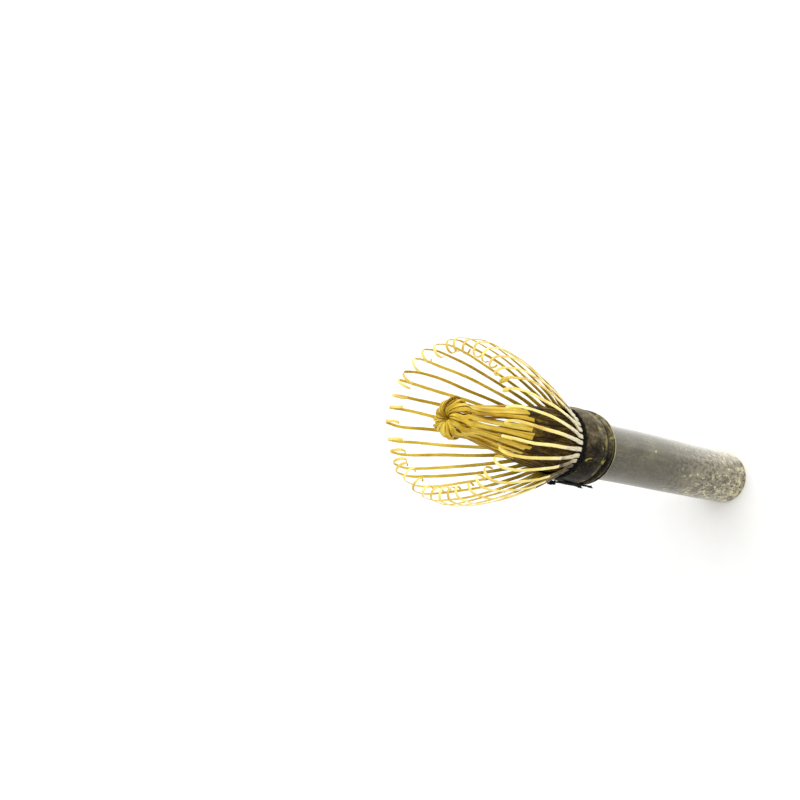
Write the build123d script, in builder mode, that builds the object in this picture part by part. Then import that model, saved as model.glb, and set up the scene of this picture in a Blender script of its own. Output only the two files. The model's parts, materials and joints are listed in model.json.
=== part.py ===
from build123d import *
import os
from math import cos, radians, sin, tan

# Bamboo tea whisk (chasen), long-handled, 72 strands: 36 outer tines and 36 inner ones.
# Millimetres.  +Z runs up the whisk from the butt to the tines; the origin is the centre of the butt.

# ---- culm: one piece of bamboo from the butt to the roots of the tines
HANDLE_RADIUS = 10.5
HANDLE_TOP = 107.0  # where the handle meets the lip of the node
EDGE_ROUND = 0.8  # softened edge of the butt
BORE_RADIUS = 7.0  # natural hollow of the culm
BORE_DEPTH = 105.0
MOUTH_CHAMFER = 0.4
DIAPHRAGM_TOP = 111.0  # the node's own partition fills the culm up to here
LIP_RADIUS = 13.4
LIP_HEIGHT = 107.5
NODE_GROOVE_RADIUS = 13.25
LIP_GROOVE_HEIGHT = 108.3
NODE_RADIUS = 13.7
NODE_HEIGHT = 110.4  # crest of the main ridge
UPPER_GROOVE_HEIGHT = 112.6
UPPER_CREST_RADIUS = 13.5
UPPER_CREST_HEIGHT = 114.2
COLLAR_BULGE_RADIUS = 13.7
COLLAR_BULGE_HEIGHT = 117.5
COLLAR_TOP = 126.0
COLLAR_TOP_RADIUS = 13.1
CUP_RADIUS = 9.6  # hollow of the collar above the partition

# ---- outer tines: a cage that flares from the collar and hooks inward at the top
OUTER_COUNT = 36
OUTER_ROOT_RADIUS = 12.25
OUTER_ROOT_THICKNESS = 0.8
OUTER_TIP_THICKNESS = 0.4
OUTER_ROOT_WIDTH = 1.6
OUTER_TIP_WIDTH = 1.05
SHOULDER_LENGTH = 25.0  # skin-covered root below the shaved part
CAGE_POINTS = [(12.45, 128.6), (16.2, 138.0), (22.1, 154.5), (26.6, 173.0), (27.7, 181.5)]
HOOK_CENTRE = (24.4, 187.2)
HOOK_RADIUS = 2.6
HOOK_START = 9.0  # degrees round the hook at which the blade enters it
HOOK_SWEEP = 205.0

# ---- inner tines: a spindle that closes to a neck, swells and turns in to the centre
INNER_COUNT = 36
INNER_PER_NODE = 2
INNER_ROOT_RADIUS = 10.8
INNER_ROOT_THICKNESS = 0.7
INNER_TIP_THICKNESS = 0.35
INNER_ROOT_WIDTH = 1.5
INNER_POINTS = [(10.95, 134.0), (9.4, 150.0), (7.2, 165.0), (5.1, 178.5)]
KNOT_POINTS = [(6.35, 184.5), (5.1, 189.0)]
LONG_TIP = (1.7, 189.5)  # every other tine reaches the centre of the knot
SHORT_TIP = (3.0, 190.1)  # the ones between them stop short of it
INNER_GAP_ANGLE = 1.2  # degrees left free between neighbouring inner tines

# ---- binding thread
OUTER_THREAD_RADIUS = 0.4
INNER_THREAD_RADIUS = 0.3
THREAD_HEIGHT = 127.2
OUTER_THREAD_RING = 13.2
INNER_THREAD_RING = 11.5
KNOT_AZIMUTH = 190.0
KNOT_RADIUS = 1.4
TAIL_RADIUS = 0.35
TAIL_TIP_RADIUS = 0.6
TAIL_SHARE = 0.45  # share of a run that the bend at its end may take

os.makedirs("parts", exist_ok=True)


def write(piece, name):
    piece.part.label = name
    export_step(piece.part, f"parts/{name}.step")


def side_plane(azimuth):
    """Plane through the axis: local x is the radius, local y is height."""
    a = radians(azimuth)
    return Plane(origin=(0, 0, 0), x_dir=(cos(a), sin(a), 0), z_dir=(sin(a), -cos(a), 0))


def face_plane(azimuth):
    """Plane that faces outward at the azimuth: local x is the width, local y is height."""
    a = radians(azimuth)
    return Plane(origin=(0, 0, 0), x_dir=(-sin(a), cos(a), 0), z_dir=(cos(a), sin(a), 0))


def blade_outline(path, root_thickness, tip_thickness, stations):
    """Both faces of a blade that thins along its centre line, joined into a closed outline."""
    outer, inner = [], []
    for k in range(stations + 1):
        t = k / stations
        centre, along = path.position_at(t), path.tangent_at(t)
        half = (root_thickness + (tip_thickness - root_thickness) * t**0.6) / 2
        outer.append((centre.X + along.Y * half, centre.Y - along.X * half))
        inner.append((centre.X - along.Y * half, centre.Y + along.X * half))
    Spline(*outer)
    Line(outer[-1], inner[-1])
    Spline(*inner[::-1])
    Line(inner[0], outer[0])


def hand_split(i, period, size):
    """Small repeatable unevenness of strand i, as hand splitting leaves."""
    return size * sin(period * i + 0.7)


# ---------------------------------------------------------------- culm
with BuildPart() as culm_handle:
    with BuildSketch(Plane.XZ):
        with BuildLine():
            Polyline(
                (0, DIAPHRAGM_TOP),
                (0, BORE_DEPTH),
                (BORE_RADIUS, BORE_DEPTH),
                (BORE_RADIUS, MOUTH_CHAMFER),
                (BORE_RADIUS + MOUTH_CHAMFER, 0),
                (HANDLE_RADIUS - EDGE_ROUND, 0),
            )
            RadiusArc(
                (HANDLE_RADIUS - EDGE_ROUND, 0),
                (HANDLE_RADIUS, EDGE_ROUND),
                -EDGE_ROUND,
            )
            Line((HANDLE_RADIUS, EDGE_ROUND), (HANDLE_RADIUS, HANDLE_TOP))
            Line((HANDLE_RADIUS, HANDLE_TOP), (LIP_RADIUS, LIP_HEIGHT))
            Spline(
                (LIP_RADIUS, LIP_HEIGHT),
                (NODE_GROOVE_RADIUS, LIP_GROOVE_HEIGHT),
                (NODE_RADIUS, NODE_HEIGHT),
                (NODE_GROOVE_RADIUS, UPPER_GROOVE_HEIGHT),
                (UPPER_CREST_RADIUS, UPPER_CREST_HEIGHT),
                (COLLAR_BULGE_RADIUS, COLLAR_BULGE_HEIGHT),
                (COLLAR_TOP_RADIUS, COLLAR_TOP),
            )
            Polyline(
                (COLLAR_TOP_RADIUS, COLLAR_TOP),
                (CUP_RADIUS, COLLAR_TOP),
                (CUP_RADIUS, DIAPHRAGM_TOP + 2),
                (CUP_RADIUS - 2, DIAPHRAGM_TOP),
                (0, DIAPHRAGM_TOP),
            )
        make_face()
    revolve(axis=Axis.Z)
write(culm_handle, "culm_handle")


# ---------------------------------------------------------------- outer tines
def outer_azimuth(i):
    """Azimuth of outer tine i: evenly spaced, with the slow drift of hand splitting."""
    even = 360 * i / OUTER_COUNT
    side = radians(even + 90)
    return even - 1.0 - 2.5 * cos(side) + 1.5 * sin(2 * side) + hand_split(i, 2.3, 0.45)


def outer_path(i):
    """Centre line of outer tine i: the flare of the cage, then the inward hook."""
    lift = hand_split(i, 1.9, 0.35) - 0.35
    sweep = HOOK_SWEEP + hand_split(i, 3.1, 14)
    hook_x, hook_z = HOOK_CENTRE[0], HOOK_CENTRE[1] + lift
    start = radians(HOOK_START)
    entry = (hook_x + HOOK_RADIUS * cos(start), hook_z + HOOK_RADIUS * sin(start))
    blade = Spline(
        (OUTER_ROOT_RADIUS, COLLAR_TOP),
        *CAGE_POINTS,
        entry,
        tangents=[(0.0, 1.0), (-sin(start), cos(start))],
        mode=Mode.PRIVATE,
    )
    hook = CenterArc((hook_x, hook_z), HOOK_RADIUS, HOOK_START, sweep, mode=Mode.PRIVATE)
    return Wire([blade, hook])


for i in range(OUTER_COUNT):
    with BuildPart() as outer_tine:
        with BuildSketch(side_plane(outer_azimuth(i))):
            with BuildLine():
                blade_outline(outer_path(i), OUTER_ROOT_THICKNESS, OUTER_TIP_THICKNESS, 22)
            make_face()
        extrude(amount=OUTER_ROOT_WIDTH / 2, both=True)
        with BuildSketch(face_plane(outer_azimuth(i))):
            Polygon(
                (-OUTER_ROOT_WIDTH / 2, COLLAR_TOP),
                (OUTER_ROOT_WIDTH / 2, COLLAR_TOP),
                (OUTER_ROOT_WIDTH / 2, COLLAR_TOP + SHOULDER_LENGTH / 4),
                (OUTER_TIP_WIDTH / 2 + 0.1, COLLAR_TOP + SHOULDER_LENGTH),
                (OUTER_TIP_WIDTH / 2, HOOK_CENTRE[1] + 2 * HOOK_RADIUS),
                (-OUTER_TIP_WIDTH / 2, HOOK_CENTRE[1] + 2 * HOOK_RADIUS),
                (-OUTER_TIP_WIDTH / 2 - 0.1, COLLAR_TOP + SHOULDER_LENGTH),
                (-OUTER_ROOT_WIDTH / 2, COLLAR_TOP + SHOULDER_LENGTH / 4),
                align=None,
            )
        extrude(amount=40, mode=Mode.INTERSECT)
    write(outer_tine, f"outer_tine_{i + 1:02d}")


# ---------------------------------------------------------------- inner tines
def inner_azimuth(i):
    """Azimuth of inner tine i, midway between two outer tines at the root."""
    return 360 * (i + 0.5) / INNER_COUNT


def inner_path(i):
    """Centre line of inner tine i: the spindle, the neck and the turned-in top."""
    tip = LONG_TIP if i % 2 else SHORT_TIP
    return Spline(
        (INNER_ROOT_RADIUS, COLLAR_TOP),
        *INNER_POINTS,
        *KNOT_POINTS,
        tip,
        tangents=[(0.0, 1.0), (-1.0, -0.3 if i % 2 else 0.0)],
        mode=Mode.PRIVATE,
    )


def sector(azimuth):
    """Slice of the whisk that belongs to one inner tine, narrower towards the axis."""
    reach = INNER_ROOT_RADIUS + 2
    half = reach * tan(radians(180 / INNER_COUNT - INNER_GAP_ANGLE / 2))
    a = radians(azimuth)
    plane = Plane(origin=(0, 0, COLLAR_TOP), x_dir=(cos(a), sin(a), 0), z_dir=(0, 0, 1))
    with BuildSketch(plane) as slice_face:
        Polygon((0, 0), (reach, -half), (reach, half), align=None)
    return slice_face.sketch


for node in range(INNER_COUNT // INNER_PER_NODE):
    with BuildPart() as inner_pair:
        for i in range(node * INNER_PER_NODE, (node + 1) * INNER_PER_NODE):
            with BuildSketch(side_plane(inner_azimuth(i)), mode=Mode.PRIVATE) as side:
                with BuildLine():
                    blade_outline(
                        inner_path(i), INNER_ROOT_THICKNESS, INNER_TIP_THICKNESS, 26
                    )
                make_face()
            ribbon = extrude(
                side.sketch, amount=INNER_ROOT_WIDTH / 2, both=True, mode=Mode.PRIVATE
            )
            wedge = extrude(sector(inner_azimuth(i)), amount=80, mode=Mode.PRIVATE)
            add(ribbon & wedge)
    write(inner_pair, f"inner_tine_pair_{node + 1:02d}")


# ---------------------------------------------------------------- binding thread
with BuildPart() as thread_outer_pass:
    with Locations((0, 0, THREAD_HEIGHT)):
        Torus(OUTER_THREAD_RING, OUTER_THREAD_RADIUS)
write(thread_outer_pass, "thread_outer_pass")

with BuildPart() as thread_inner_pass:
    with Locations((0, 0, THREAD_HEIGHT)):
        Torus(INNER_THREAD_RING, INNER_THREAD_RADIUS)
write(thread_inner_pass, "thread_inner_pass")

knot_reach = OUTER_THREAD_RING + OUTER_THREAD_RADIUS + KNOT_RADIUS + 0.05
knot_angle = radians(KNOT_AZIMUTH)
with BuildPart() as thread_knot:
    with Locations((knot_reach * cos(knot_angle), knot_reach * sin(knot_angle), THREAD_HEIGHT)):
        Sphere(KNOT_RADIUS)
write(thread_knot, "thread_knot")


def at(radius, azimuth, height):
    a = radians(azimuth)
    return Vector(radius * cos(a), radius * sin(a), height)


def bend_radii(route):
    """Largest bend that the two runs beside each corner allow."""
    radii = []
    for before, corner, after in zip(route, route[1:], route[2:]):
        turn = (corner - before).get_angle(after - corner)
        shorter = min((corner - before).length, (after - corner).length)
        radii.append(TAIL_SHARE * shorter / tan(radians(turn) / 2))
    return radii


def thread_tail(name, route):
    """One free end of the thread, with its small stopper knot."""
    radii = bend_radii(route)
    print(name, "bend radii", [round(r, 1) for r in radii])
    with BuildPart() as tail:
        with BuildLine() as line:
            FilletPolyline(*route, radius=radii)
        with BuildSketch(Plane(origin=route[0], z_dir=route[1] - route[0])):
            Circle(TAIL_RADIUS)
        sweep()
        print(name, "length", line.wire().length, "volume", tail.part.volume)
        with Locations(route[-1]):
            Sphere(TAIL_TIP_RADIUS)
    write(tail, name)


thread_tail(
    "thread_tail_1",
    [
        at(knot_reach - 0.3, KNOT_AZIMUTH - 3, THREAD_HEIGHT - KNOT_RADIUS - 0.1),
        at(14.7, KNOT_AZIMUTH - 6, 121.5),
        at(14.6, KNOT_AZIMUTH - 6.5, 115.0),
        at(14.5, KNOT_AZIMUTH - 9, 109.5),
        at(14.9, KNOT_AZIMUTH - 14, 104.5),
    ],
)
thread_tail(
    "thread_tail_2",
    [
        at(knot_reach - 0.3, KNOT_AZIMUTH + 3, THREAD_HEIGHT - KNOT_RADIUS - 0.1),
        at(14.8, KNOT_AZIMUTH + 5, 122.0),
        at(14.5, KNOT_AZIMUTH + 9, 116.0),
        at(14.6, KNOT_AZIMUTH + 9.5, 110.5),
        at(15.2, KNOT_AZIMUTH + 12, 106.0),
    ],
)
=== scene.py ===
"""Bamboo tea whisk: detailed meshes, materials, light and camera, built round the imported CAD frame.

Lengths are in millimetres in the frame's own axes, +Z up the whisk, and become metres where a mesh is
made.  Only the materials measure in metres, as their nodes do.  Azimuths are in degrees about +Z.
"""

import json
from math import atan2, cos, degrees, exp, pi, radians, sin

import bpy
from mathutils import Matrix, Vector, noise


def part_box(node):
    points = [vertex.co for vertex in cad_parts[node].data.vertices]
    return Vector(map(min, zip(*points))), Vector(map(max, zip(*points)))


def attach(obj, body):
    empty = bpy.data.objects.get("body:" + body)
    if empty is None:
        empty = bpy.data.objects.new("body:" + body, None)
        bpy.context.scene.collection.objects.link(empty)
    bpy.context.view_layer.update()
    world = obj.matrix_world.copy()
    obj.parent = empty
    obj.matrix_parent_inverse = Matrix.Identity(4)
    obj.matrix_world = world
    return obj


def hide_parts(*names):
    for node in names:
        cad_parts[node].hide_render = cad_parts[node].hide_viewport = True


MM = 0.001
UP = Vector((0, 0, 1))

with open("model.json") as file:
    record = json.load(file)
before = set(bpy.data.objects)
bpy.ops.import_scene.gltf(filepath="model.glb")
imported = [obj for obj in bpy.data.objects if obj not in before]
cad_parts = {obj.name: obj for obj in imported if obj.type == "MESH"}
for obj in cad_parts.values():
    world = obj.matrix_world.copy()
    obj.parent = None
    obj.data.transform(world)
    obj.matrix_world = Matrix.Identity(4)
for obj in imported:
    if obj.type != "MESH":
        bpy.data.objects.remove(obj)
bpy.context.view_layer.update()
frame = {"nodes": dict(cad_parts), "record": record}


def millimetres(corner):
    return Vector(corner) / MM


# ---------------------------------------------------------------- sizes read from the frame
COLLAR_TOP = millimetres(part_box("culm_handle")[1]).z
OUTER_NODES = sorted(n for n in frame["nodes"] if n.startswith("outer_tine_"))
INNER_NODES = sorted(n for n in frame["nodes"] if n.startswith("inner_tine_pair_"))
SPINDLE_TOP = max(millimetres(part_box(n)[1]).z for n in INNER_NODES)
MOUNTS = {m["name"]: m for m in frame["record"]["mounts"]}
BORE_RADIUS = MOUNTS["handle_bore"]["dims"]["r_mm"]
HANDLE_RADIUS = MOUNTS["handle_outside"]["dims"]["r_mm"]
THREAD_HEIGHT = sum(millimetres(c).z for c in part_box("thread_outer_pass")) / 2
KNOT_CENTRE = sum((millimetres(c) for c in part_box("thread_knot")), Vector()) / 2
KNOT_AZIMUTH = degrees(atan2(KNOT_CENTRE.y, KNOT_CENTRE.x))

# ---------------------------------------------------------------- culm
HANDLE_TOP = 107.0
EDGE_ROUND = 0.8  # softened edge of the butt
BORE_DEPTH = 105.0
PARTITION_TOP = 111.0
CUP_RADIUS = 9.6  # hollow of the collar above the partition
CULM_SIDES = 192
HANDLE_ROWS = 110
NODE_STEPS = 90
NODE_CREST = 110.5  # the culm is lumpiest round here
NODE_SPREAD = 3.2
NODE_PROFILE = [  # radius and height, from the handle up over the lip, node and collar
    (HANDLE_RADIUS, HANDLE_TOP),
    (13.2, 107.35),
    (13.45, 107.6),
    (13.4, 107.85),
    (13.15, 108.2),
    (13.3, 108.9),
    (13.7, 110.0),
    (13.7, 110.9),
    (13.4, 112.0),
    (13.2, 112.6),
    (13.35, 113.2),
    (13.5, 114.1),
    (13.55, 115.2),
    (13.7, 117.5),
    (13.62, 120.0),
    (13.4, 123.0),
    (13.15, COLLAR_TOP - 0.5),
]

# ---------------------------------------------------------------- outer tines
CAGE_POINTS = [  # radius and height of a tine's middle line
    (12.25, COLLAR_TOP),
    (12.45, COLLAR_TOP + 2.6),
    (16.2, 138.0),
    (22.1, 154.5),
    (26.6, 173.0),
    (27.7, 181.5),
]
BLADE_STEPS = 74
HOOK_CENTRE = 24.4  # radius of the hook's middle; its height follows from the CAD tine's top
HOOK_RADIUS = 2.6
HOOK_TIGHTNESS = 0.78  # radius at the hook's end, as a share of the one at its start
HOOK_START = 9.0  # degrees round the hook at which the blade enters it
HOOK_SWEEP = 234.0
HOOK_STEPS = 26
OUTER_SKIN_END = 150.5
OUTER_ROOT_WIDTH = 1.6
OUTER_MID_WIDTH = 1.18
OUTER_TIP_WIDTH = 0.96
OUTER_ROOT_THICKNESS = (0.8, 0.58)  # at the collar, and where the skin ends
OUTER_BLADE_THICKNESS = (0.46, 0.29)  # where the skin ends, and at the hook
HALF_BLADE = 0.2  # half the thickness of the CAD blade at the top of its hook

# ---------------------------------------------------------------- inner tines: spindle and rosette
SPINDLE_POINTS = [(10.8, COLLAR_TOP), (10.95, 134.0), (9.4, 150.0), (7.2, 165.0), (5.5, 178.5)]
SPINDLE_STEPS = 150
NECK_HEIGHT = 178.5
ABOVE_NECK = (5.6, 183.2)
RIM = (6.3, 184.9)  # the petals stand out over the neck here
BULGE_RADIUS = 6.4
BULGE_HEIGHT = 186.9
KNOT_TOP_RADIUS = 5.0
NECK_PARTINGS = (-62, -84, -104, 62, 84, 106, 150)  # azimuths where the neck can be seen through
NECK_PUSH = 5.2  # degrees by which strands make way there
WIDE_PETALS = -75  # middle azimuth of the wide petals, which have narrow ones under them
KNOT_HOLLOWS = (-70, -104, -128)  # azimuths of the open hollows between petals
HOLLOW_PUSH = 9.5
PARTING_REACH = 13.0  # degrees over which a push fades
INNER_SKIN_END = 153.5
INNER_ROOT_WIDTH = 1.55
INNER_NECK_WIDTH = 1.0
PETAL_WIDTH = 1.05
INNER_ROOT_THICKNESS = (0.66, 0.52)  # at the collar, and where the skin ends
INNER_BLADE_THICKNESS = 0.44
DIMPLE_SHIFT = Vector((-0.3, 1.0, 0.0))  # the swirl closes a little off the axis
SPINDLE_LEAN = 0.5  # the tip of the spindle stands this far towards +X

# ---------------------------------------------------------------- thread
THREAD_RADIUS = 0.4
THREAD_ROWS = (-0.45, 0.15, 0.75)  # heights of the rows about the middle of the binding
WEAVE_RADIUS = 12.3  # middle of the tines' roots, which the thread passes outside and inside
WEAVE_SWING = 0.8
WEAVE_STEPS = 12  # from one tine to the next
YARN_PITCH = 2.2  # length of one turn of the two plies
PLY_ORBIT = 0.46  # a ply's distance from the yarn's middle line and its radius, as shares of the
PLY_RADIUS = 0.56  # yarn's own radius
TUBE_SIDES = 8

# ---------------------------------------------------------------- camera
CAMERA_PLACE = (0.0, -302.5, 563.4)
CAMERA_AIM = (3.0, 52.5, 153.6)
CAMERA_ROLL = 77.53
CAMERA_LENS = 66.6
CAMERA_SENSOR = 36.0
CAMERA_CLIP = (0.02, 20.0)  # metres

# ---------------------------------------------------------------- floor and light
FLOOR_RADIUS = 6000.0
FLOOR_SIDES = 120
WORLD_STRENGTH = 0.82
KEY_FROM = (0.74, -0.12, 0.67)  # a broad soft key from the +X side and above
KEY_STRENGTH = 2.0
KEY_SPREAD = 90.0  # degrees
PANEL_RADIANCE = 0.62  # a soft panel flat on the table, which the satin handle mirrors
PANEL_AZIMUTH = 30.0
PANEL_DISTANCE = 50.0  # from the axis to the middle of the panel
PANEL_SIZE = (90.0, 195.0)  # away from the whisk, and across
PANEL_HEIGHT = 0.5
PANEL_COLOUR = (1.0, 0.99, 0.94)


# ================================================================ geometry helpers
def uneven(i, period, size):
    """Small repeatable unevenness of piece i."""
    return size * sin(period * i + 0.7)


def wander(seed, t, size):
    """Smooth repeatable drift along a strand, t in millimetres."""
    return size * noise.noise(Vector((seed * 7.31, t * 0.045, seed * 1.7)))


def smoothstep(low, high, x):
    t = min(1.0, max(0.0, (x - low) / (high - low)))
    return t * t * (3 - 2 * t)


def between(ends, t):
    """Value a share t of the way from the first of two ends to the second."""
    return ends[0] + (ends[1] - ends[0]) * t


def smooth_curve(points, steps, first=None, last=None):
    """Points along a smooth curve through the given ones; first and last are end directions."""
    points = [Vector(p) for p in points]
    gaps = [(b - a).length for a, b in zip(points, points[1:])]
    slopes = []
    for k, p in enumerate(points):
        if k == 0:
            slope = Vector(first).normalized() if first else (points[1] - p) / gaps[0]
        elif k == len(points) - 1:
            slope = Vector(last).normalized() if last else (p - points[-2]) / gaps[-1]
        else:
            before = (p - points[k - 1]) / gaps[k - 1]
            after = (points[k + 1] - p) / gaps[k]
            slope = (before * gaps[k] + after * gaps[k - 1]) / (gaps[k] + gaps[k - 1])
        slopes.append(slope)
    total, made = sum(gaps), []
    for k, gap in enumerate(gaps):
        count = max(1, round(steps * gap / total))
        for j in range(count):
            t = j / count
            made.append(
                points[k] * (1 + 2 * t) * (1 - t) ** 2
                + slopes[k] * gap * t * (1 - t) ** 2
                + points[k + 1] * t * t * (3 - 2 * t)
                + slopes[k + 1] * gap * t * t * (t - 1)
            )
    made.append(points[-1])
    return made


def coil(start, heading, radius_start, radius_end, sweep, steps):
    """Points of a coil in the plane that turns left from start; heading and sweep in degrees."""
    place, angle, made = Vector(start), radians(heading), []
    turn = radians(sweep) / steps
    for k in range(steps):
        radius = radius_start + (radius_end - radius_start) * (k + 0.5) / steps
        angle += turn / 2
        place = place + Vector((cos(angle), sin(angle))) * radius * turn
        angle += turn / 2
        made.append(place.copy())
    return made


def polar(radius, azimuth, height):
    a = radians(azimuth)
    return Vector((radius * cos(a), radius * sin(a), height))


def directions(azimuth):
    """Unit vectors outward and across at an azimuth."""
    outward = polar(1.0, azimuth, 0.0)
    return outward, Vector((-outward.y, outward.x, 0.0))


def signed_power(x, power):
    return (1 if x > 0 else -1) * abs(x) ** power


class Mesh:
    """Collects vertices, faces, material numbers and blade coordinates of one piece."""

    def __init__(self):
        self.verts, self.faces, self.slots, self.along = [], [], [], []

    def ring(self, points, along=None):
        first = len(self.verts)
        self.verts += [tuple(p) for p in points]
        self.along += along or [(0.0, 0.0, 0.5)] * len(points)
        return list(range(first, len(self.verts)))

    def bridge(self, a, b, slot=0):
        n = len(a)
        for k in range(n):
            self.faces.append((a[k], a[(k + 1) % n], b[(k + 1) % n], b[k]))
            self.slots.append(slot if isinstance(slot, int) else slot[k])

    def fan(self, centre, ring, slot, flip=False):
        for a, b in zip(ring, ring[1:] + ring[:1]):
            self.faces.append((centre, b, a) if flip else (centre, a, b))
            self.slots.append(slot)

    def cap(self, ring, slot=0, flip=False):
        self.faces.append(tuple(reversed(ring)) if flip else tuple(ring))
        self.slots.append(slot)

    def build(self, name, materials, replaced, slot_name):
        data = bpy.data.meshes.new(name)
        data.from_pydata([Vector(v) * MM for v in self.verts], [], self.faces)
        for material in materials:
            data.materials.append(material)
        data.polygons.foreach_set("material_index", self.slots)
        data.polygons.foreach_set("use_smooth", [True] * len(self.faces))
        layer = data.attributes.new("blade", "FLOAT_VECTOR", "POINT")
        layer.data.foreach_set("vector", [c for mark in self.along for c in mark])
        data.validate()
        data.update()
        piece = bpy.data.objects.new(name, data)
        bpy.context.scene.collection.objects.link(piece)
        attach(piece, "root")
        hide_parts(*replaced)


# ================================================================ materials
def linear(r, g, b):
    """An sRGB colour, 0 to 255, as Blender's linear one."""
    def one(c):
        c /= 255
        return c / 12.92 if c <= 0.04045 else ((c + 0.055) / 1.055) ** 2.4
    return (one(r), one(g), one(b), 1.0)


class Shader:
    """One node material, with short names for the nodes that bamboo and thread need."""

    def __init__(self, name, specular, roughness=0.5):
        self.material = bpy.data.materials.new(name)
        self.material.use_nodes = True
        self.tree = self.material.node_tree
        self.main = self.tree.nodes["Principled BSDF"]
        self.main.inputs["Roughness"].default_value = roughness
        self.main.inputs["Specular IOR Level"].default_value = specular

    def node(self, kind, **inputs):
        made = self.tree.nodes.new(kind)
        for key, value in inputs.items():
            self.feed(made.inputs[key.replace("_", " ")], value)
        return made

    def feed(self, socket, value):
        if isinstance(value, bpy.types.NodeSocket):
            self.tree.links.new(value, socket)
        else:
            socket.default_value = value

    def place(self):
        return self.node("ShaderNodeTexCoord").outputs["Object"]

    def blade(self):
        """Blade coordinates: x across from 0 to 1, y along in millimetres, z the strand's own tone."""
        made = self.node("ShaderNodeAttribute")
        made.attribute_name = "blade"
        return made.outputs["Vector"]

    def stretched(self, vector, scale, offset=(0, 0, 0)):
        made = self.node("ShaderNodeMapping", Vector=vector, Scale=scale, Location=offset)
        return made.outputs["Vector"]

    def noise(self, vector, scale, offset=(0, 0, 0), detail=3, rough=0.55, warp=0.0):
        """Noise over the vector, with a scale for each axis."""
        made = self.node(
            "ShaderNodeTexNoise", Vector=self.stretched(vector, scale, offset), Scale=1.0,
            Detail=detail, Roughness=rough, Distortion=warp,
        )
        return made.outputs["Fac"]

    def ramp(self, value, *stops):
        made = self.node("ShaderNodeValToRGB", Fac=value)
        elements = made.color_ramp.elements
        while len(elements) < len(stops):
            elements.new(0.5)
        for element, (position, colour) in zip(elements, stops):
            element.position = position
            element.color = colour
        return made.outputs["Color"]

    def step(self, value, low, high, invert=False):
        """0 below low, 1 above high."""
        made = self.node("ShaderNodeMapRange", Value=value)
        made.interpolation_type = "SMOOTHSTEP"
        self.feed(made.inputs["From Min"], low)
        self.feed(made.inputs["From Max"], high)
        made.inputs["To Min"].default_value = 1.0 if invert else 0.0
        made.inputs["To Max"].default_value = 0.0 if invert else 1.0
        return made.outputs["Result"]

    def math(self, operation, a, b=0.0):
        made = self.tree.nodes.new("ShaderNodeMath")
        made.operation = operation
        self.feed(made.inputs[0], a)
        self.feed(made.inputs[1], b)
        return made.outputs[0]

    def mix(self, amount, a, b):
        made = self.tree.nodes.new("ShaderNodeMix")
        made.data_type = "RGBA"
        self.feed(made.inputs[0], amount)
        self.feed(made.inputs[6], a)
        self.feed(made.inputs[7], b)
        return made.outputs[2]

    def cover(self, base, mask, weight, colour):
        """Colour laid over base where mask is 1, at that weight."""
        return self.mix(self.math("MULTIPLY", mask, weight), base, colour)

    def axis(self, vector, which):
        made = self.node("ShaderNodeSeparateXYZ", Vector=vector)
        return made.outputs[which]

    def finish(self, colour, bump=None, strength=0.3, depth=0.05, roughness=None):
        self.feed(self.main.inputs["Base Color"], colour)
        if roughness is not None:
            self.feed(self.main.inputs["Roughness"], roughness)
        if bump is not None:
            made = self.node("ShaderNodeBump", Height=bump, Strength=strength, Distance=depth * MM)
            self.feed(self.main.inputs["Normal"], made.outputs["Normal"])
        return self.material


NODE_LINES = [  # height, reach, colour, weight, whether it is broken up
    (107.65, 0.34, linear(186, 178, 128), 0.9, False),
    # the two near-black lines are painted shade in the node's grooves
    (108.30, 0.42, linear(14, 10, 6), 0.95, False),
    (110.0, 1.2, linear(138, 127, 76), 0.8, True),
    (112.4, 0.55, linear(14, 10, 5), 0.85, False),
    (114.4, 0.9, linear(140, 127, 70), 0.9, True),
]


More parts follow.
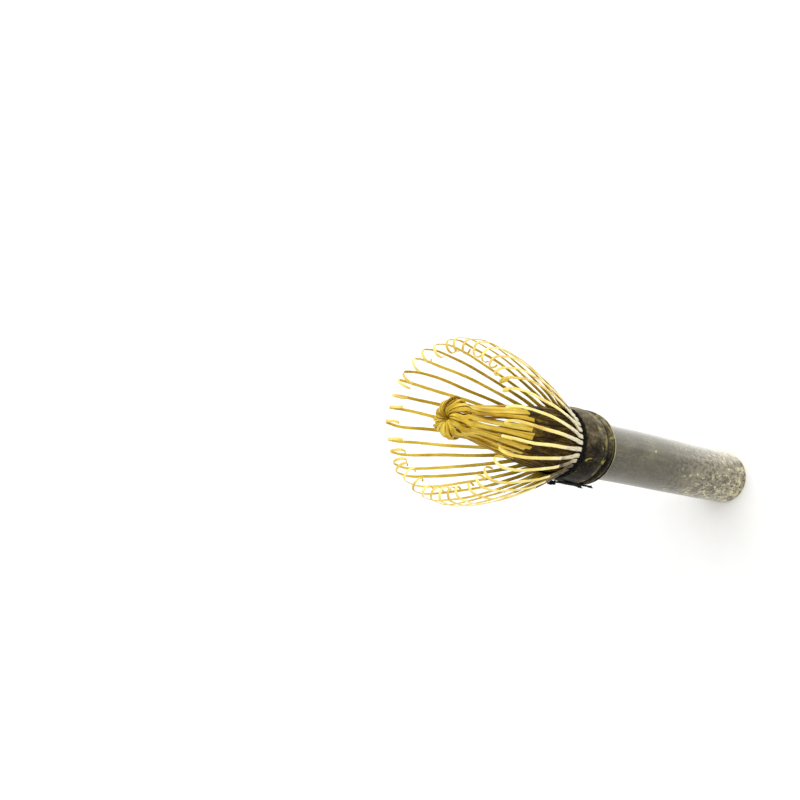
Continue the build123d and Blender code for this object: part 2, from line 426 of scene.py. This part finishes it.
def handle_skin():
    """Satin skin of the handle: grey-olive clouds, fine fibre streaks, pale flecks low down."""
    s = Shader("mottled_handle_skin", specular=0.40)
    place = s.place()
    height = s.axis(place, "Z")
    clouds = s.noise(place, (110, 110, 45), detail=5, rough=0.62, warp=0.5)
    streaks = s.noise(place, (1100, 1100, 30), detail=4, rough=0.65)
    specks = s.noise(place, (1500, 1500, 900), detail=2, rough=0.5)
    base = s.ramp(
        clouds, (0.30, linear(42, 37, 20)), (0.52, linear(72, 66, 43)), (0.70, linear(106, 99, 72))
    )
    base = s.cover(base, s.step(streaks, 0.45, 0.7), 0.55, linear(56, 50, 35))
    base = s.cover(base, s.step(specks, 0.54, 0.66), 0.22, linear(140, 134, 108))

    # paler mottling, then pale worm-like flecks, crowded towards the butt and on the -X side
    low = s.step(height, 0.004, 0.080, invert=True)
    mottles = s.noise(place, (700, 700, 420), detail=3, rough=0.6)
    mottled = s.math("MULTIPLY", s.step(mottles, 0.38, 0.60), low)
    base = s.cover(base, mottled, 0.8, linear(158, 148, 124))
    under = s.step(s.axis(place, "X"), -0.0105, 0.009, invert=True)
    crowding = s.math("MULTIPLY", low, s.math("ADD", 0.145, s.math("MULTIPLY", under, 0.16)))
    worms = s.noise(place, (300, 300, 150), (0.7, 0.2, 0.4), detail=4, rough=0.65, warp=0.4)
    ridge = s.math("ABSOLUTE", s.math("SUBTRACT", worms, 0.5))
    where = s.noise(place, (520, 520, 330), (2.3, 5.1, 0.9), detail=3, rough=0.6)
    level = s.math("SUBTRACT", 0.70, crowding)
    patchy = s.step(where, level, s.math("ADD", level, 0.03))
    flecks = s.math("MULTIPLY", s.step(ridge, 0.020, 0.036, invert=True), patchy)
    blots = s.noise(place, (440, 440, 250), (1.1, 3.7, 2.2), detail=3, rough=0.6, warp=0.7)
    blot_level = s.math("SUBTRACT", 0.78, s.math("MULTIPLY", crowding, 0.72))
    flecks = s.math("MAXIMUM", flecks, s.step(blots, blot_level, s.math("ADD", blot_level, 0.02)))
    base = s.cover(base, flecks, 0.85, linear(206, 198, 152))

    # pale rim of the cut at the butt
    rim = s.step(height, 0.0002, 0.0008, invert=True)
    base = s.cover(base, rim, 0.8, linear(196, 188, 104))
    bump = s.math("ADD", streaks, s.math("MULTIPLY", clouds, 1.5))
    bump = s.math("ADD", bump, s.math("MULTIPLY", flecks, 0.4))
    rough = s.math("ADD", 0.12, s.math("MULTIPLY", clouds, 0.24))
    return s.finish(base, bump, strength=0.3, depth=0.07, roughness=rough)


def collar_skin():
    """Dark skin of the node and collar, with pale patches and crests; painted light greys it towards +X
    and painted shade darkens it towards -X and in the grooves.
    """
    s = Shader("dark_collar_skin", specular=0.04)
    place = s.place()
    height = s.axis(place, "Z")
    clouds = s.noise(place, (260, 260, 170), detail=6, rough=0.72)
    specks = s.noise(place, (1300, 1300, 800), detail=3, rough=0.6)
    # the dark tone is the skin in painted shade, the paler grey one the skin in painted light
    deep = s.ramp(clouds, (0.38, linear(6, 4, 1)), (0.5, linear(18, 12, 4)), (0.62, linear(46, 36, 15)))
    painted_light_side = s.ramp(
        clouds, (0.38, linear(52, 42, 24)), (0.5, linear(86, 76, 52)), (0.62, linear(132, 122, 94))
    )
    # painted light and shade: the skin turns from the dark tone to the pale grey one towards +X, the
    # lit side
    side = s.math("ADD", s.axis(place, "X"), s.math("MULTIPLY", clouds, 0.006))
    base = s.mix(s.step(side, -0.002, 0.017), deep, painted_light_side)
    base = s.cover(base, s.step(specks, 0.54, 0.66), 0.4, linear(98, 88, 62))

    # larger pale patches
    patch = s.noise(place, (190, 190, 150), (3.1, 0.4, 1.9), detail=4, rough=0.6, warp=0.8)
    base = s.cover(base, s.step(patch, 0.62, 0.66), 0.8, linear(150, 142, 66))

    # pale lip, grooves darkened as painted shade, and broken pale crests of the node
    waver = s.noise(place, (160, 160, 160), detail=2)
    level = s.math("ADD", height, s.math("MULTIPLY", s.math("SUBTRACT", waver, 0.5), 0.0007))
    broken = s.step(s.noise(place, (260, 260, 420), detail=4, rough=0.7), 0.46, 0.58)
    for z, reach, colour, weight, breaks in NODE_LINES:
        near = s.math("ABSOLUTE", s.math("SUBTRACT", level, z * MM))
        line = s.step(near, 0.0, reach * MM, invert=True)
        if breaks:
            line = s.math("MULTIPLY", line, broken)
        base = s.cover(base, line, weight, colour)
    bump = s.math("ADD", specks, s.math("MULTIPLY", clouds, 1.8))
    rough = s.math("ADD", 0.26, s.math("MULTIPLY", clouds, 0.30))
    return s.finish(base, bump, strength=0.45, depth=0.08, roughness=rough)


def cut_wall():
    """Cut and inner faces of the culm: pale, with brown vessel dots in the end grain."""
    s = Shader("cut_culm_wall", specular=0.3, roughness=0.6)
    place = s.place()
    cells = s.node("ShaderNodeTexVoronoi", Vector=s.stretched(place, (1500, 1500, 90)), Scale=1.0)
    dots = s.step(cells.outputs["Distance"], 0.22, 0.38, invert=True)
    tone = s.noise(place, (260, 260, 60), detail=3)
    base = s.ramp(tone, (0.3, linear(188, 160, 104)), (0.7, linear(222, 200, 148)))
    base = s.cover(base, dots, 0.6, linear(112, 80, 42))
    return s.finish(base, dots, strength=0.3, depth=0.08)


def tine_skin(name, dark, mid, pale, painted_glare=None):
    """Skin left on the root of a strand: dark and flecked, with a pale painted highlight, the gloss's
    glare, on the +X side where one is given.
    """
    s = Shader(name, specular=0.1, roughness=0.45)
    place = s.place()
    clouds = s.noise(place, (420, 420, 110), detail=5, rough=0.68, warp=0.6)
    fibres = s.noise(s.blade(), (7.0, 0.16, 1.0), detail=4, rough=0.65)
    base = s.ramp(clouds, (0.36, dark), (0.52, mid), (0.68, pale))
    base = s.cover(base, s.step(fibres, 0.46, 0.7), 0.6, dark)
    if painted_glare:
        # painted highlight: roots that face +X, towards the key light, get the pale glare colour
        side = s.math("ADD", s.axis(place, "X"), s.math("MULTIPLY", clouds, 0.004))
        grey = s.mix(s.step(fibres, 0.46, 0.72), painted_glare, mid)
        base = s.cover(base, s.step(side, -0.0065, -0.001), 0.9, grey)
    return s.finish(base, s.math("ADD", fibres, clouds), strength=0.45, depth=0.06)


def shaved_bamboo(name, shade, mid, light, root=None):
    """Shaved strand: yellow bamboo with straight fibres, and a paler root where one is given."""
    s = Shader(name, specular=0.22, roughness=0.45)
    place = s.place()
    fibres = s.noise(s.blade(), (9.0, 0.10, 1.0), detail=4, rough=0.65)
    own = s.math("MULTIPLY", s.math("SUBTRACT", s.axis(s.blade(), "Z"), 0.5), 0.24)
    tone = s.math("ADD", s.noise(place, (210, 210, 60), detail=3, rough=0.55), own)
    base = s.ramp(tone, (0.32, shade), (0.5, mid), (0.7, light))
    base = s.cover(base, s.step(fibres, 0.5, 0.78), 0.5, shade)
    if root:
        base = s.cover(base, s.step(s.axis(place, "Z"), 0.149, 0.163, invert=True), 0.75, root)
    s.main.inputs["Subsurface Weight"].default_value = 0.4
    s.main.inputs["Subsurface Radius"].default_value = (1.0, 0.75, 0.25)
    s.main.inputs["Subsurface Scale"].default_value = 0.6 * MM
    return s.finish(base, fibres, strength=0.35, depth=0.04)


def black_cotton():
    """Black twisted cotton: dull, with a faint fuzz sheen."""
    s = Shader("black_cotton", specular=0.1, roughness=0.85)
    s.main.inputs["Sheen Weight"].default_value = 0.04
    s.main.inputs["Sheen Roughness"].default_value = 0.5
    fuzz = s.noise(s.place(), (2600, 2600, 2600), detail=3, rough=0.7)
    base = s.ramp(fuzz, (0.3, linear(2, 2, 2)), (0.7, linear(12, 10, 10)))
    return s.finish(base, fuzz, strength=0.5, depth=0.06)


HANDLE_SKIN = handle_skin()
COLLAR_SKIN = collar_skin()
CUT = cut_wall()
OUTER_SKIN = tine_skin(
    "outer_tine_skin",
    linear(40, 28, 20), linear(80, 64, 48), linear(138, 122, 88), painted_glare=linear(240, 230, 196),
)
INNER_SKIN = tine_skin("inner_tine_skin", linear(36, 25, 3), linear(66, 49, 12), linear(134, 110, 40))
OUTER_WOOD = shaved_bamboo(
    "outer_tine_wood",
    linear(212, 182, 84), linear(238, 214, 118), linear(250, 234, 154), root=linear(240, 224, 172),
)
# darker, deeper gold wood for the inward faces of the outer strands: painted shade on the faces turned
# into the cage
PAINTED_SHADE_INSIDE_WOOD = shaved_bamboo(
    "outer_tine_inside_painted_shade", linear(184, 154, 32), linear(214, 188, 58), linear(232, 208, 86)
)
INNER_WOOD = shaved_bamboo(
    "inner_tine_wood", linear(172, 134, 22), linear(216, 184, 56), linear(238, 212, 98)
)
# dark wood for the narrow edges of the inner strands: painted shade between neighbouring strands
PAINTED_SHADE_EDGE_WOOD = shaved_bamboo(
    "inner_tine_edge_painted_shade", linear(110, 78, 10), linear(148, 112, 24), linear(180, 144, 46)
)
COTTON = black_cotton()


# ================================================================ culm
def culm_profile():
    """Closed outline of the culm, as (radius, height, material number), from axis to axis."""
    skin, cut, collar = 0, 1, 2

    # the hollow above the partition, and the collar's rim
    outline = [(0.0, PARTITION_TOP, cut), (CUP_RADIUS - 2, PARTITION_TOP, cut)]
    outline += [(CUP_RADIUS, PARTITION_TOP + 2, cut), (CUP_RADIUS, COLLAR_TOP - 4, cut)]
    outline += [(CUP_RADIUS, COLLAR_TOP - 0.2, cut), (CUP_RADIUS + 0.2, COLLAR_TOP, cut)]
    outline += [(10.6, COLLAR_TOP, cut), (11.7, COLLAR_TOP, collar), (12.7, COLLAR_TOP, collar)]
    outline += [(12.98, COLLAR_TOP - 0.06, collar), (13.1, COLLAR_TOP - 0.25, collar)]

    # down the collar, node and handle, and round the edge of the butt
    outline += [(p.x, p.y, collar) for p in smooth_curve(NODE_PROFILE[::-1], NODE_STEPS)]
    outline += [
        (HANDLE_RADIUS, between((HANDLE_TOP, EDGE_ROUND), k / HANDLE_ROWS), skin)
        for k in range(1, HANDLE_ROWS)
    ]
    for k in range(7):
        a = radians(90 * k / 6)
        radius, height = HANDLE_RADIUS - EDGE_ROUND * (1 - cos(a)), EDGE_ROUND * (1 - sin(a))
        outline.append((radius, height, skin if k < 4 else cut))

    # across the butt and up the bore
    outline += [(r, 0.0, cut) for r in (9.2, 8.6, 8.0, 7.6)]
    outline += [(BORE_RADIUS + 0.3, 0.05, cut), (BORE_RADIUS + 0.06, 0.3, cut)]
    outline += [(BORE_RADIUS, z, cut) for z in (0.8, 20, 45, 70, 95, BORE_DEPTH - 1.5)]
    outline += [(BORE_RADIUS - 0.5, BORE_DEPTH - 0.4, cut), (BORE_RADIUS - 1.5, BORE_DEPTH, cut)]
    outline += [(3.0, BORE_DEPTH, cut), (0.0, BORE_DEPTH, cut)]
    return outline


def culm_surface(radius, azimuth, height):
    """A point of the culm, with the slight ovality, fluting and pitting of grown bamboo."""
    a = radians(azimuth)
    around = Vector((cos(a) * 1.1, sin(a) * 1.1, height * 0.022))
    drift = 0.16 * noise.noise(around) * smoothstep(9.0, 10.4, radius)
    flute = 0.035 * noise.noise(Vector((cos(a) * 9, sin(a) * 9, height * 0.05)))
    near_node = exp(-(((height - NODE_CREST) / NODE_SPREAD) ** 2))
    lump = 0.28 * near_node * noise.noise(Vector((cos(a) * 2.6, sin(a) * 2.6, height * 0.5)))
    settle = smoothstep(0.0, 1.0, height)
    waver = 0.22 * near_node * sin(a * 2 + 0.6) + 0.12 * near_node * sin(a * 5)
    return polar(radius + (drift + flute) * settle + lump, azimuth, height + waver)


def make_culm():
    mesh, last = Mesh(), None
    for radius, height, slot in culm_profile():
        if radius == 0.0:
            ring = mesh.ring([(0, 0, height)])
        else:
            azimuths = (360 * j / CULM_SIDES for j in range(CULM_SIDES))
            ring = mesh.ring([culm_surface(radius, azimuth, height) for azimuth in azimuths])
        if last and len(last) == 1:
            mesh.fan(last[0], ring, slot)
        elif last and len(ring) == 1:
            mesh.fan(ring[0], last, slot, flip=True)
        elif last:
            mesh.bridge(ring, last, slot)
        last = ring
    mesh.build("whisk_culm", [HANDLE_SKIN, CUT, COLLAR_SKIN], ["culm_handle"], "mottled_culm")


# ================================================================ strands
def azimuth_of(node):
    """Azimuth of a CAD strand, from its own vertices."""
    points = [v.co for v in frame["nodes"][node].data.vertices]
    return degrees(atan2(sum(p.y for p in points), sum(p.x for p in points)))


SECTION = 12  # points round a strand
INWARD = range(6, 11)  # faces of the section that look inward
EDGES = (5, 11)  # the two narrow faces between those and the outward ones

# material numbers round a strand, where it keeps its skin and where it is shaved; the narrow edge faces
# of a shaved inner strand get a dark wood as painted shade between strands
OUTER_SKINNED = [2 if face in INWARD else 0 for face in range(SECTION)]
OUTER_SHAVED = [2 if face in INWARD else 1 for face in range(SECTION)]
INNER_SKINNED = [1 if face in INWARD else 0 for face in range(SECTION)]
INNER_SHAVED = [2 if face in EDGES else 1 for face in range(SECTION)]


def section(width, thickness):
    """Outline of a strand across its length: a rounded flat."""
    points = []
    for k in range(SECTION):
        a = 2 * pi * (k + 0.5) / SECTION
        x, y = signed_power(cos(a), 0.5), signed_power(sin(a), 0.7)
        points.append((x * width / 2, y * thickness / 2))
    return points


def add_strand(mesh, path, sides, widths, thicknesses, slots, phase):
    """Adds one closed strand: the place, direction across, sizes and materials of each row."""
    rings, travelled, tone = [], 0.0, phase * 4.1 % 1.0
    for k, point in enumerate(path):
        ahead = path[min(k + 1, len(path) - 1)] - path[max(k - 1, 0)]
        along = ahead.normalized()
        across = sides[k] - along * sides[k].dot(along)
        across.normalize()
        outward = across.cross(along)
        if k:
            travelled += (point - path[k - 1]).length
        ring, marks = [], []
        for x, y in section(widths[k], thicknesses[k]):
            ring.append(point + across * x + outward * y)
            marks.append((x / widths[k] + 0.5 + phase, travelled + phase * 40, tone))
        rings.append(mesh.ring(ring, marks))
    for below, above, slot in zip(rings, rings[1:], slots[1:]):
        mesh.bridge(below, above, slot)
    mesh.cap(rings[0], 1, flip=True)
    mesh.cap(rings[-1], 1)


def outer_strand(mesh, index, azimuth, top):
    """One outer tine: skin-covered root, oblique shoulder, thin flaring blade and inward hook."""
    start = radians(HOOK_START)
    entry = (
        HOOK_CENTRE + HOOK_RADIUS * cos(start),
        top - HALF_BLADE - HOOK_RADIUS * (1 - sin(start)),
    )
    flare = smooth_curve(
        CAGE_POINTS + [entry], BLADE_STEPS, first=(0, 1), last=(-sin(start), cos(start))
    )
    tight = HOOK_RADIUS * (HOOK_TIGHTNESS + uneven(index, 4.7, 0.14))
    sweep = HOOK_SWEEP + uneven(index, 3.1, 28)
    outline = flare + coil(flare[-1], 90 + HOOK_START, HOOK_RADIUS, tight, sweep, HOOK_STEPS)
    outward, across = directions(azimuth)
    slanted = outward * 0.8 + UP * 0.2
    shoulder = OUTER_SKIN_END + uneven(index, 2.9, 1.3)
    lean = uneven(index, 5.3, 13) + 3
    path, sides, widths, thicknesses, slots = [], [], [], [], []
    for k, (radius, height) in enumerate(outline):
        rise = smoothstep(COLLAR_TOP + 3, 185, height)
        hooked = max(0, k - len(flare) + 1) / HOOK_STEPS
        bow = wander(index, height, 0.63) * rise
        drift = wander(index + 50, height, 1.5) * rise + hooked * lean * 0.12
        path.append(polar(radius + bow, azimuth, height) + across * drift)
        twist = radians(wander(index + 90, height, 26) * rise + hooked * lean)
        sides.append(across * cos(twist) + slanted * sin(twist))
        thin = smoothstep(COLLAR_TOP + 2, OUTER_SKIN_END, height)
        width = between((OUTER_ROOT_WIDTH, OUTER_MID_WIDTH), thin)
        width += (OUTER_TIP_WIDTH - OUTER_MID_WIDTH) * max(hooked, smoothstep(160, 188, height))
        width *= 1 - 0.25 * smoothstep(0.5, 1.0, hooked)
        widths.append(width * (1 + uneven(index + k, 0.9, 0.03)))
        if height < shoulder and hooked == 0:
            thicknesses.append(between(OUTER_ROOT_THICKNESS, thin))
            slots.append(OUTER_SKINNED)
        else:
            thicknesses.append(between(OUTER_BLADE_THICKNESS, rise))
            slots.append(OUTER_SHAVED)
    add_strand(mesh, path, sides, widths, thicknesses, slots, index * 0.37)


def bunching(index):
    """Degrees by which strands lean on each other in bunches, which leaves gaps between bunches."""
    return 1.7 * sin(2 * pi * index / 3.7) + sin(2 * pi * index / 5.9 + 1.3)


def parting(azimuth, places, push):
    """Degrees by which a strand moves away from the nearest places."""
    moved = 0.0
    for place in places:
        apart = (azimuth - place + 180) % 360 - 180
        moved += push * (1 if apart > 0 else -1) * exp(-((apart / PARTING_REACH) ** 2))
    return moved


def inner_strand(mesh, index, azimuth):
    """One inner tine: flat blade of the spindle, then the petal that turns in to the knot."""
    deep = index % 2
    near = smoothstep(0.2, 0.8, cos(radians(azimuth - WIDE_PETALS)))
    recess = deep * (0.1 + 0.75 * near)
    stand_out = uneven(index, 1.7, 0.3) - recess
    crown = SPINDLE_TOP - 0.75 + uneven(index, 3.3, 0.3) - 0.9 * recess
    points = SPINDLE_POINTS + [
        ABOVE_NECK,
        (RIM[0] + stand_out, RIM[1]),
        (BULGE_RADIUS + stand_out, BULGE_HEIGHT + uneven(index, 1.1, 0.5)),
        (KNOT_TOP_RADIUS + uneven(index, 2.7, 0.35), crown - 0.4),
        (2.3, crown),
        (1.2 + 0.5 * deep, crown - 1.5),
        (1.9 + 0.6 * deep, crown - 7.5),
    ]
    outline = smooth_curve(points, SPINDLE_STEPS, first=(0, 1), last=(0, -1))
    highest = max(range(len(outline)), key=lambda k: outline[k].y)
    shoulder = INNER_SKIN_END + uneven(index, 4.1, 1.0)
    petal = PETAL_WIDTH + (0.3 if deep else 0.6) * near
    path, sides, widths, thicknesses, slots = [], [], [], [], []
    for k, (radius, height) in enumerate(outline):
        # how far along the strand is, as shares: clear of its root, in the spindle's waist, in the
        # rosette, over its crest, and curled down into the swirl
        free = smoothstep(COLLAR_TOP + 4, 150, height)
        in_knot = smoothstep(NECK_HEIGHT - 4, BULGE_HEIGHT, height)
        gathered = smoothstep(144, 160, height) * (1 - in_knot)
        crest = smoothstep(BULGE_HEIGHT - 1.2, SPINDLE_TOP - 1.6, height)
        curled = 0.0
        if height > BULGE_HEIGHT or k > highest:
            curled = smoothstep(BULGE_RADIUS, 1.0, radius)

        turn = wander(index + 200, height, 4.0) * free * (1 - in_knot)
        turn += (bunching(index) + parting(azimuth, NECK_PARTINGS, NECK_PUSH)) * gathered
        turn += parting(azimuth, KNOT_HOLLOWS, HOLLOW_PUSH) * crest * (1 - curled)
        turn += curled * (22 + uneven(index, 2.1, 6))
        outward, across = directions(azimuth + turn)
        depth = wander(index + 300, height, 0.8) * free - 0.3 * deep * free * (1 - in_knot)
        climb = (height - COLLAR_TOP) / (SPINDLE_TOP - COLLAR_TOP)
        centre = Vector((SPINDLE_LEAN * climb, 0, height)) + DIMPLE_SHIFT * curled
        path.append(centre + outward * (radius + depth))

        tilt = (0.3 * (1 - in_knot) + uneven(index, 2.3, 0.15)) * free
        tilt -= 0.9 * curled + 0.35 * in_knot * (1 - 0.6 * near)
        along = (outline[min(k + 1, len(outline) - 1)] - outline[max(k - 1, 0)]).normalized()
        sides.append(across * cos(tilt) + (outward * along.y - UP * along.x) * sin(tilt))
        width = between((INNER_ROOT_WIDTH, INNER_NECK_WIDTH), smoothstep(135, NECK_HEIGHT, height))
        width += (petal - INNER_NECK_WIDTH) * in_knot
        widths.append(width * (1 - 0.35 * curled))
        if height < shoulder and k < highest:
            thicknesses.append(between(INNER_ROOT_THICKNESS, free))
            slots.append(INNER_SKINNED)
        else:
            thicknesses.append(INNER_BLADE_THICKNESS + 0.16 * in_knot - 0.22 * curled)
            slots.append(INNER_SHAVED)
    add_strand(mesh, path, sides, widths, thicknesses, slots, index * 0.53)


def make_strands():
    for i, node in enumerate(OUTER_NODES):
        mesh = Mesh()
        outer_strand(mesh, i, azimuth_of(node), millimetres(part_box(node)[1]).z)
        mesh.build(f"{node}_blade", [OUTER_SKIN, OUTER_WOOD, PAINTED_SHADE_INSIDE_WOOD], [node], "outer_tine_bamboo")
    spacing = 360 / (2 * len(INNER_NODES))
    for i, node in enumerate(INNER_NODES):
        mesh, middle = Mesh(), azimuth_of(node)
        inner_strand(mesh, 2 * i, middle - spacing / 2)
        inner_strand(mesh, 2 * i + 1, middle + spacing / 2)
        mesh.build(f"{node}_blades", [INNER_SKIN, INNER_WOOD, PAINTED_SHADE_EDGE_WOOD], [node], "inner_tine_bamboo")


# ================================================================ thread
def frames(path, closed=False):
    """For each point of the path: the point, two directions across it, and the length so far."""
    count, normal, travelled = len(path), None, 0.0
    for k, point in enumerate(path):
        ahead = path[(k + 1) % count] if closed else path[min(k + 1, count - 1)]
        behind = path[k - 1] if closed or k else path[0]
        along = (ahead - behind).normalized()
        if normal is None:
            normal = along.orthogonal()
        normal = (normal - along * normal.dot(along)).normalized()
        if k:
            travelled += (point - path[k - 1]).length
        yield point, normal, along.cross(normal), travelled


def add_tube(mesh, path, radii, closed=False):
    """A tube along the path, with a radius for each point."""
    rings = []
    for (point, normal, binormal, travelled), radius in zip(frames(path, closed), radii):
        ring, marks = [], []
        for j in range(TUBE_SIDES):
            a = 2 * pi * j / TUBE_SIDES
            ring.append(point + (normal * cos(a) + binormal * sin(a)) * radius)
            marks.append((j / TUBE_SIDES, travelled, 0.5))
        rings.append(mesh.ring(ring, marks))
    for a, b in zip(rings, rings[1:]):
        mesh.bridge(a, b)
    if closed:
        # join the last ring to the first one without a twist
        corner = Vector(mesh.verts[rings[-1][0]])
        gaps = [(Vector(mesh.verts[v]) - corner).length for v in rings[0]]
        start = gaps.index(min(gaps))
        mesh.bridge(rings[-1], rings[0][start:] + rings[0][:start])
    else:
        mesh.cap(rings[0], flip=True)
        mesh.cap(rings[-1])


def add_yarn(mesh, path, radius, closed=False, taper=0.0):
    """Two plies twisted round each other along the path, thinner by taper at its end."""
    length = sum((b - a).length for a, b in zip(path, path[1:]))
    turns = max(1, round(length / YARN_PITCH)) if closed else length / YARN_PITCH
    for ply in range(2):
        made, radii = [], []
        for point, normal, binormal, travelled in frames(path, closed):
            a = 2 * pi * turns * travelled / length + pi * ply
            fine = 1 - taper * smoothstep(0.7, 1.0, travelled / length)
            made.append(point + (normal * cos(a) + binormal * sin(a)) * radius * PLY_ORBIT * fine)
            radii.append(radius * PLY_RADIUS * fine)
        add_tube(mesh, made, radii, closed)


def make_binding():
    """Rows of thread, each of two strands that pass outside one tine and inside the next."""
    mesh = Mesh()
    azimuths = sorted(azimuth_of(n) % 360 for n in OUTER_NODES)
    azimuths.append(azimuths[0] + 360)
    for row, rise in enumerate(THREAD_ROWS):
        for strand in (0, 1):
            path = []
            for k in range(len(OUTER_NODES) * WEAVE_STEPS):
                i, part = divmod(k, WEAVE_STEPS)
                azimuth = between(azimuths[i:i + 2], part / WEAVE_STEPS)
                phase = pi * (k / WEAVE_STEPS + row + strand)
                swing = WEAVE_SWING * signed_power(cos(phase), 0.55)
                height = THREAD_HEIGHT + rise + 0.16 * sin(phase) + uneven(k, 0.11, 0.05)
                path.append(polar(WEAVE_RADIUS + swing, azimuth, height))
            add_yarn(mesh, path, THREAD_RADIUS, closed=True)
    mesh.build(
        "binding_thread", [COTTON], ["thread_outer_pass", "thread_inner_pass"], "black_thread"
    )


def knot_path(centre, size, steps):
    """A trefoil laid flat against the collar, at the knot's azimuth."""
    outward, across = directions(KNOT_AZIMUTH)
    made = []
    for k in range(steps):
        t = 2 * pi * k / steps
        x, y, z = sin(t) + 2 * sin(2 * t), cos(t) - 2 * cos(2 * t), -sin(3 * t)
        made.append(centre + (across * x + UP * y) * size / 3 + outward * z * size * 0.32)
    return made


def make_knot():
    """Two trefoils, a small one over a large one, where the thread is tied off."""
    mesh = Mesh()
    centre = KNOT_CENTRE - polar(0.45, KNOT_AZIMUTH, 0)
    over = centre + polar(0.3, KNOT_AZIMUTH, 0.1)
    add_yarn(mesh, knot_path(centre, 1.5, 90), THREAD_RADIUS, closed=True)
    add_yarn(mesh, knot_path(over, 0.85, 70), THREAD_RADIUS, closed=True)
    mesh.build("thread_knot_cord", [COTTON], ["thread_knot"], "black_thread")


def make_tail(node, side):
    """One free end of the doubled thread: two yarns side by side that meet in a stopper knot."""
    mesh = Mesh()
    reach = KNOT_CENTRE.xy.length
    end = millimetres(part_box(node)[0]).z + 1.0
    drop = KNOT_CENTRE.z - end
    stop = polar(reach - 0.7, KNOT_AZIMUTH + side * 11, end)
    for spread in (-1.6, 1.6):
        route = [  # distance from the axis, degrees round from the knot, and distance down from it
            (reach - 0.6, side * 2, 0.7),
            (reach - 0.95, side * 4.5 + spread * 0.5, 0.22 * drop),
            (reach - 0.9, side * 6.5 + spread, 0.5 * drop),
            (reach - 0.9, side * 8 + spread * 0.8, 0.75 * drop),
        ]
        route = [polar(r, KNOT_AZIMUTH + round_by, KNOT_CENTRE.z - z) for r, round_by, z in route]
        add_yarn(mesh, smooth_curve(route + [stop], 90), THREAD_RADIUS * 0.9)
        tip = [
            stop,
            stop + polar(0.3, KNOT_AZIMUTH + spread * 20, -0.6),
            stop + polar(0.6, KNOT_AZIMUTH + spread * 34, -1.3),
        ]
        add_yarn(mesh, smooth_curve(tip, 14), THREAD_RADIUS * 0.7, taper=0.75)
    add_yarn(mesh, knot_path(stop, 0.62, 50), THREAD_RADIUS * 0.75, closed=True)
    mesh.build(f"{node}_yarns", [COTTON], [node], "black_thread")


make_culm()
make_strands()
make_binding()
make_knot()
make_tail("thread_tail_1", -1)
make_tail("thread_tail_2", 1)


# ================================================================ floor, light and camera
def white_table():
    """Plain matt white table top."""
    s = Shader("white_table", specular=0.2, roughness=0.6)
    grain = s.noise(s.place(), (60, 60, 60), detail=4)
    base = s.ramp(grain, (0.3, (0.92, 0.92, 0.91, 1)), (0.7, (0.95, 0.95, 0.94, 1)))
    return s.finish(base)


def make_floor():
    """A round table top, so that its far edge is level from every side."""
    data = bpy.data.meshes.new("floor")
    edge = [polar(FLOOR_RADIUS, 360 * k / FLOOR_SIDES, 0.0) * MM for k in range(FLOOR_SIDES)]
    data.from_pydata(edge, [], [range(FLOOR_SIDES)])
    data.materials.append(white_table())
    floor = bpy.data.objects.new("floor", data)
    bpy.context.scene.collection.objects.link(floor)


def make_light():
    world = bpy.data.worlds.new("studio")
    world.use_nodes = True
    sky = world.node_tree.nodes["Background"]
    sky.inputs["Color"].default_value = (1, 1, 1, 1)
    sky.inputs["Strength"].default_value = WORLD_STRENGTH
    bpy.context.scene.world = world
    lamp = bpy.data.lights.new("key", "SUN")
    lamp.energy = KEY_STRENGTH
    lamp.angle = radians(KEY_SPREAD)
    key = bpy.data.objects.new("key", lamp)
    key.rotation_mode = "QUATERNION"
    key.rotation_quaternion = (-Vector(KEY_FROM)).to_track_quat("-Z", "Y")
    bpy.context.scene.collection.objects.link(key)
    width, length = (side * MM for side in PANEL_SIZE)
    glow = bpy.data.lights.new("panel", "AREA")
    glow.shape = "ELLIPSE"
    glow.size, glow.size_y = width, length
    glow.energy = PANEL_RADIANCE * pi * width * length
    glow.color = PANEL_COLOUR
    panel = bpy.data.objects.new("panel", glow)
    panel.location = polar(PANEL_DISTANCE, PANEL_AZIMUTH, PANEL_HEIGHT) * MM
    panel.rotation_euler = (pi, 0, radians(PANEL_AZIMUTH))
    panel.visible_camera = False
    bpy.context.scene.collection.objects.link(panel)


def make_camera():
    lens = bpy.data.cameras.new("camera")
    lens.lens = CAMERA_LENS
    lens.sensor_width = CAMERA_SENSOR
    lens.clip_start, lens.clip_end = CAMERA_CLIP
    camera = bpy.data.objects.new("camera", lens)
    place, aim = Vector(CAMERA_PLACE), Vector(CAMERA_AIM)
    turn = (aim - place).to_track_quat("-Z", "Y").to_matrix().to_4x4()
    camera.matrix_world = (
        Matrix.Translation(place * MM) @ turn @ Matrix.Rotation(radians(-CAMERA_ROLL), 4, "Z")
    )
    bpy.context.scene.collection.objects.link(camera)
    bpy.context.scene.camera = camera


make_floor()
make_light()
make_camera()
bpy.context.scene.view_settings.view_transform = "Standard"
